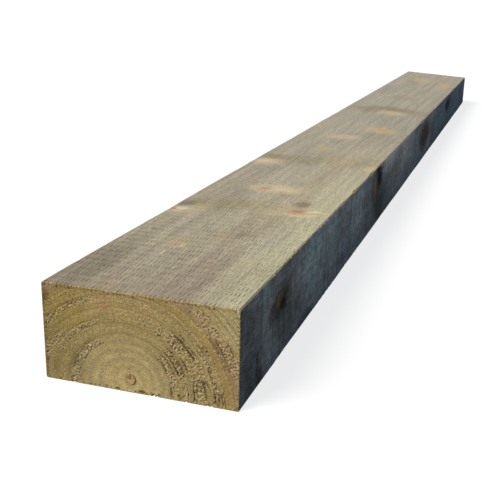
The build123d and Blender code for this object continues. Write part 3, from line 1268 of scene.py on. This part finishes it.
SIDE_KNOTS = patch_table(
    (78, 150, 30, 56, (125, 122, 117), 0.75, 1.3),
    (98, 160, 20, 56, (90, 84, 79), 0.85, 1.1),
    (112, 128, 26, 40, (169, 131, 90), 0.65, 1.1),
    (126, 146, 34, 52, (54, 52, 49), 0.8, 1.1),
    (124, 182, 48, 84, (114, 120, 109), 0.6, 1.3),
    (50, 58, 64, 74, (72, 70, 70), 0.65, 1.1),
    (46, 68, 74, 100, (84, 79, 74), 0.6, 1.2),
    (200, 256, 86, 104, (98, 92, 87), 0.6, 1.2),
    (640, 716, -6, 66, (114, 106, 98), 0.8, 1.1),
    (648, 672, 20, 46, (182, 136, 90), 0.75, 1.0),
    (662, 694, 2, 14, (90, 68, 60), 0.8, 1.0),
    (676, 716, 6, 42, (58, 56, 52), 0.85, 1.0),
    (660, 752, 48, 96, (95, 101, 90), 0.75, 1.2),
    (820, 940, 16, 70, (144, 139, 128), 0.5, 1.3),
    (950, 1060, 60, 100, (131, 136, 136), 0.5, 1.2),
    (1216, 1380, 14, 80, (90, 86, 84), 0.85, 1.1),
    (1262, 1320, 30, 58, (141, 101, 71), 0.65, 1.0),
    (1400, 1500, 30, 90, (114, 120, 125), 0.5, 1.2),
    (1750, 1866, 20, 54, (68, 68, 71), 0.85, 1.1),
    (2180, 2280, 26, 60, (95, 101, 106), 0.5, 1.2),
)

SIDE_KNOT_HEARTS = (1, 9, 15)

# Dark lines that a saw left across the right side, along from the near end
SAW_LINES = (62.0, 100.0, 207.0, 322.0, 394.0, 470.0, 640.0)


def right_material():
    paint = Paint("sawn_right_side_painted_shade", sheen=0.0)
    # Painted shade: the base is blue-grey, partly the treatment's teal and partly the blue cast of
    # the side in shadow
    colour = paint.patches(srgb(176, 182, 180), paint.warped(16, 70), SIDE_TONES, on_side)
    figure = face_figure(paint, [SIDE_KNOTS[i] for i in SIDE_KNOT_HEARTS], on_side)
    colour = grain(paint, colour, figure)
    colour = paint.patches(colour, paint.warped(8, 26), SIDE_KNOTS, on_side, 0.6)
    colour = paint.shade(colour, paint.noise((30, 16, 30), 3, 16.0), 0.84, 1.16)
    colour = paint.shade(colour, paint.noise((3, 9, 5), 2, 18.0), 0.84, 1.18)
    s = paint.axis(paint.place, "Y")
    colour = lines_at(paint, colour, s, SAW_LINES, 2.4, srgb(62, 64, 66), 0.45, 1 / 6)
    return paint.finish(painted_slit_shade(paint, colour), sawn_height(paint), SAWN_BUMP)


# Knots of the faces that the photograph hides: the left side's are measured down from the top
LEFT_KNOTS = patch_table(
    (180, 232, 40, 74, (186, 170, 130), 0.6, 1.2),
    (194, 214, 50, 64, (176, 128, 94), 0.65, 1.1),
    (560, 640, -8, 28, (120, 106, 84), 0.5, 1.4),
    (905, 958, 20, 52, (190, 176, 136), 0.6, 1.2),
    (920, 944, 28, 42, (184, 138, 104), 0.65, 1.1),
    (1330, 1400, 60, 104, (112, 100, 82), 0.5, 1.3),
    (1715, 1760, 34, 62, (180, 160, 118), 0.6, 1.2),
    (2110, 2170, 10, 44, (186, 168, 128), 0.55, 1.3),
)

UNDER_KNOTS = patch_table(
    (310, 370, 40, 92, (182, 166, 126), 0.6, 1.2),
    (326, 352, 54, 76, (170, 122, 90), 0.6, 1.1),
    (700, 770, 130, 180, (176, 158, 118), 0.55, 1.3),
    (1120, 1180, 80, 126, (184, 164, 122), 0.6, 1.2),
    (1136, 1160, 94, 112, (174, 124, 88), 0.6, 1.1),
    (1600, 1670, 16, 60, (116, 102, 82), 0.45, 1.4),
    (2020, 2090, 110, 160, (180, 162, 120), 0.55, 1.2),
)


def plain_face_material(side, name, base, dark, knots, to_place):
    """A face that the photograph hides: the same timber, with tones and knots of its own."""
    paint = Paint(name)
    tone = paint.rise(paint.noise((70, 520, 70), 3, 15.5), 0.38, 0.62, 0.8)
    colour = paint.mix(tone, srgb(*base), srgb(*dark))
    colour = grain(paint, colour, face_figure(paint, knots[:1], to_place))
    colour = paint.patches(colour, paint.warped(7, 26), knots, to_place, 0.5)
    height = sawn_height(paint)
    if not side.incised:
        colour, height = drawn_slits(paint, colour, height, side)
    return paint.finish(painted_slit_shade(paint, colour), height, SAWN_BUMP)


DRAWN_SLIT_SHADE = 0.7
DRAWN_SLIT_BUMP = 3.0


def drawn_slits(paint, colour, height, side):
    """A side's slits as bump and painted shade, in the same staggered rows."""
    first = slit_columns(side, False)[0]
    place = paint.warped(2, 5)
    x, y = paint.axis(place, "X"), paint.axis(place, "Y")
    marks = 0.0
    for shifted in (0, 1):
        start = first + shifted * SLIT_PITCH / 2
        u = paint.math("PINGPONG", paint.minus(x, start), SLIT_PITCH / 2)
        s = paint.minus(y, SLIT_FROM_END + shifted * SLIT_ROW_GAP)
        s = paint.math("PINGPONG", s, SLIT_ROW_GAP)
        across = paint.math("DIVIDE", u, SLIT_WIDTH / 2)
        along = paint.math("DIVIDE", s, SLIT_LENGTH / 2)
        mark = paint.rise(paint.plus(across, along), 1.05, 0.6)
        marks = paint.math("MAXIMUM", marks, mark)
    # Painted shade in the drawn slits
    colour = paint.mix(paint.times(marks, DRAWN_SLIT_SHADE), colour, srgb(58, 50, 40))
    return colour, paint.minus(height, paint.times(marks, DRAWN_SLIT_BUMP))


# Thin rings on the ends, as their radii: grey ones near the heart, brown ones from there to the
# outer wood, and brown ones between pale ones by the corners
GREY_RINGS = (22.5, 31.0, 39.0)
BROWN_RINGS = (46.5, 57.0, 59.5, 71.5, 76.0, 84.0, 88.0, 96.5, 99.5, 102.5, 105.5)
OUTER_RINGS = (110.8, 117.2, 122.6)
PALE_RINGS = (104.0, 109.4, 113.0, 115.2, 119.6, 125.0)

# What the photograph shows on the near end, measured down from the top and across from the left
END_PATCHES = patch_table(
    (-20, 120, -40, 40, (142, 124, 78), 0.75, 1.2),
    (8, 44, 6, 46, (172, 146, 80), 0.6, 1.2),
    (-6, 32, 56, 122, (178, 154, 98), 0.5, 1.2),
    (4, 20, 56, 72, (190, 144, 100), 0.5, 1.2),
    (-8, 36, 178, 216, (182, 168, 120), 0.65, 1.0),
    (2, 20, -8, 8, (98, 66, 40), 0.75, 1.0),
    (52, 90, 182, 206, (150, 120, 84), 0.55, 1.0),
    (36, 60, 176, 200, (142, 112, 84), 0.4, 1.0),
    (66, 92, 26, 42, (122, 110, 76), 0.5, 1.0),
    (3.0, 5.5, 198.4, 202, (206, 196, 160), 0.7, 0.8),
    (35, 37.5, 198.4, 202, (210, 198, 160), 0.8, 0.8),
    (48.5, 51, 198.4, 202, (210, 198, 160), 0.8, 0.8),
    (54, 56.5, 198.0, 202, (216, 206, 172), 0.8, 0.8),
    (59, 62, 198.4, 202, (206, 192, 154), 0.8, 0.8),
    (70.5, 73, 198.4, 202, (210, 198, 160), 0.8, 0.8),
    (75, 78, 198.2, 202, (216, 206, 172), 0.8, 0.8),
    (90, 93, 198.2, 202, (206, 192, 154), 0.8, 0.8),
)


def end_material():
    paint = Paint("end_grain")
    wander = paint.centred(paint.noise((24, 400, 24), 2, 2.2), 3.0)
    wander = paint.plus(wander, paint.centred(paint.noise((6, 400, 6), 2, 4.2), 1.8))
    ring = paint.plus(paint.attribute("ring"), wander)
    torn = paint.attribute("torn")

    colour = paint.patches(srgb(172, 151, 101), paint.warped(14, 14), END_PATCHES, on_end)
    colour = paint.mix(paint.rise(ring, 44, 18, 0.85), colour, srgb(192, 170, 118))
    ochre = paint.between(ring, 88, 94, 4.0)
    colour = paint.mix(paint.times(ochre, 0.4), colour, srgb(174, 140, 78))
    colour = paint.shade(colour, paint.noise((19, 900, 19), 3, 6.0), 0.91, 1.09)
    seasons = paint.math("PINGPONG", ring, 4.3)
    colour = paint.mix(paint.rise(seasons, 0.0, 4.3, 0.22), colour, srgb(112, 98, 60))
    for radii, width, tone, strength in (
        (GREY_RINGS, 2.4, (148, 144, 120), 0.32),
        (BROWN_RINGS, 1.2, (96, 78, 46), 0.26),
        (OUTER_RINGS, 1.0, (120, 100, 64), 0.35),
        (PALE_RINGS, 0.9, (206, 186, 140), 0.4),
    ):
        colour = lines_at(paint, colour, ring, radii, width, srgb(*tone), strength)
    pink = paint.times(paint.between(ring, 99.5, 107, 2.5), 0.45)
    colour = paint.mix(pink, colour, srgb(176, 142, 110))

    colour = paint.shade(colour, paint.noise((3.2, 400, 3.2), 3, 11.0), 0.88, 1.12)
    colour = paint.shade(colour, paint.noise((1.5, 400, 1.5), 2, 13.0), 0.80, 1.20)
    colour = paint.mix(paint.rise(torn, 0.1, 0.9, 0.35), colour, srgb(184, 164, 122))
    bands = paint.rise(seasons, 3.0, 1.4, 0.5)
    bands = paint.times(bands, paint.rise(ring, 42, 50))
    ragged = paint.math("MAXIMUM", paint.rise(torn, -0.16, 0.7), bands)
    tufts = paint.noise((1.8, 400, 1.8), 2, 17.0)
    # Dark specks in the torn bands: partly darker torn wood, partly painted shade of the pits
    # between the fibres
    dark = paint.times(ragged, paint.rise(tufts, 0.52, 0.64, 0.75))
    colour = paint.mix(dark, colour, srgb(86, 70, 40))
    pale = paint.times(ragged, paint.rise(tufts, 0.45, 0.34, 0.7))
    colour = paint.mix(pale, colour, srgb(214, 194, 146))
    # Painted shade in the end's pits, torn grooves, opened ring and cracks: darker where the recess
    # attribute is higher
    pits = paint.rise(paint.attribute("recess"), 0.05, 1.0, 0.85)
    colour = paint.mix(pits, colour, srgb(72, 56, 32))

    core = paint.radius(0.0)
    # Painted shade: a brown ring round the pith, where the opened ring lies beside it
    pith_ring_shade = paint.times(paint.between(core, 3.6, 6.4, 1.4), 0.45)
    colour = paint.mix(pith_ring_shade, colour, srgb(146, 114, 78))
    colour = paint.mix(paint.rise(core, 3.8, 1.6, 0.6), colour, srgb(188, 152, 116))
    fuzz = paint.noise((1.0, 400, 1.0), 3, 14.0)
    return paint.finish(colour, fuzz, END_BUMP)


bpy.context.scene.view_settings.view_transform = "Standard"
add_camera()
add_world()
add_key_light()
add_floor()

materials = [
    top_material(),
    right_material(),
    plain_face_material(
        SIDES[UNDER], "sawn_underside", (160, 152, 130), (142, 133, 112), UNDER_KNOTS, on_top
    ),
    plain_face_material(
        SIDES[LEFT], "sawn_left_side", (164, 154, 130), (142, 136, 118), LEFT_KNOTS, on_side
    ),
    end_material(),
]
skin = beam_skin()
sleeper = mesh_object("sleeper", skin, materials)
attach(sleeper, BODY)
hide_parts(NODE)
print("triangles", sum(len(face) - 2 for face in skin.faces))

boxes = {"cad": cad_box, "visual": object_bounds()}
{name: [list(corner) for corner in box] for name, box in boxes.items()}
